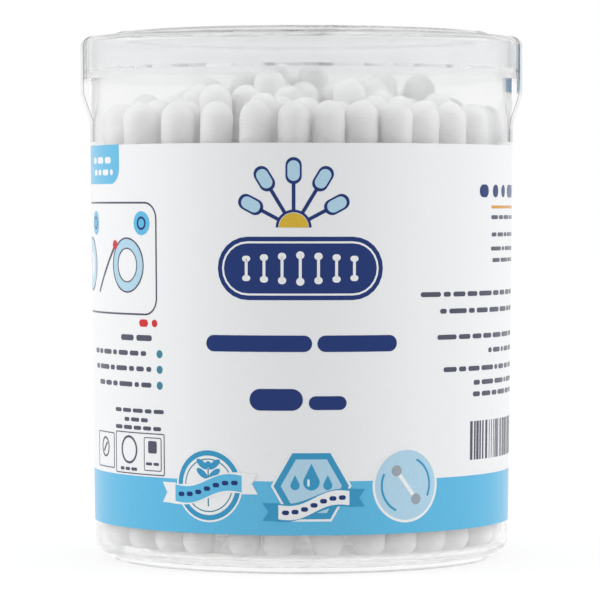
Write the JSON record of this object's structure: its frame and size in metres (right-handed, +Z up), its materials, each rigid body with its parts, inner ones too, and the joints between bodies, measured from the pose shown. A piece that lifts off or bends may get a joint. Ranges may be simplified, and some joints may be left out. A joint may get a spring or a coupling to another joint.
{
  "type": "cotton swab tub",
  "caption": "Round clear plastic tub packed with upright cotton swabs, with a press-on clear lid, a wrap-round printed label and a clear seal film over the lid.",
  "frame": {"origin": "on the tub's axis, at the plane of the foot ring it stands on", "axes": "+Z up along the tub's axis; the front of the label faces -Y; the seal film runs along X"},
  "size_m": [0.0706, 0.07, 0.0838],
  "materials": {
    "clear_tub": "clear gloss",
    "clear_lid": "clear gloss",
    "label_film": "satin print film",
    "seal_film": "clear gloss film",
    "cotton": "wound cotton",
    "stem": "satin"
  },
  "bodies": {
    "tub": {"tub": "clear_tub", "label": "label_film", "wall_row_stems": "stem", "wall_row_lower_buds": "cotton", "wall_row_upper_buds": "cotton", "second_row_stems": "stem", "second_row_lower_buds": "cotton", "second_row_upper_buds": "cotton", "third_row_stems": "stem", "third_row_lower_buds": "cotton", "third_row_upper_buds": "cotton", "fourth_row_stems": "stem", "fourth_row_lower_buds": "cotton", "fourth_row_upper_buds": "cotton", "fifth_row_stems": "stem", "fifth_row_lower_buds": "cotton", "fifth_row_upper_buds": "cotton", "middle_stems": "stem", "middle_lower_buds": "cotton", "middle_upper_buds": "cotton"},
    "lid": {"lid": "clear_lid", "seal_film": "seal_film"}
  },
  "joints": [
    {"name": "lid_lift", "type": "slide", "parent": "tub", "child": "lid", "axis": [0, 0, 1], "range_m": [0, 0.04]}
  ]
}
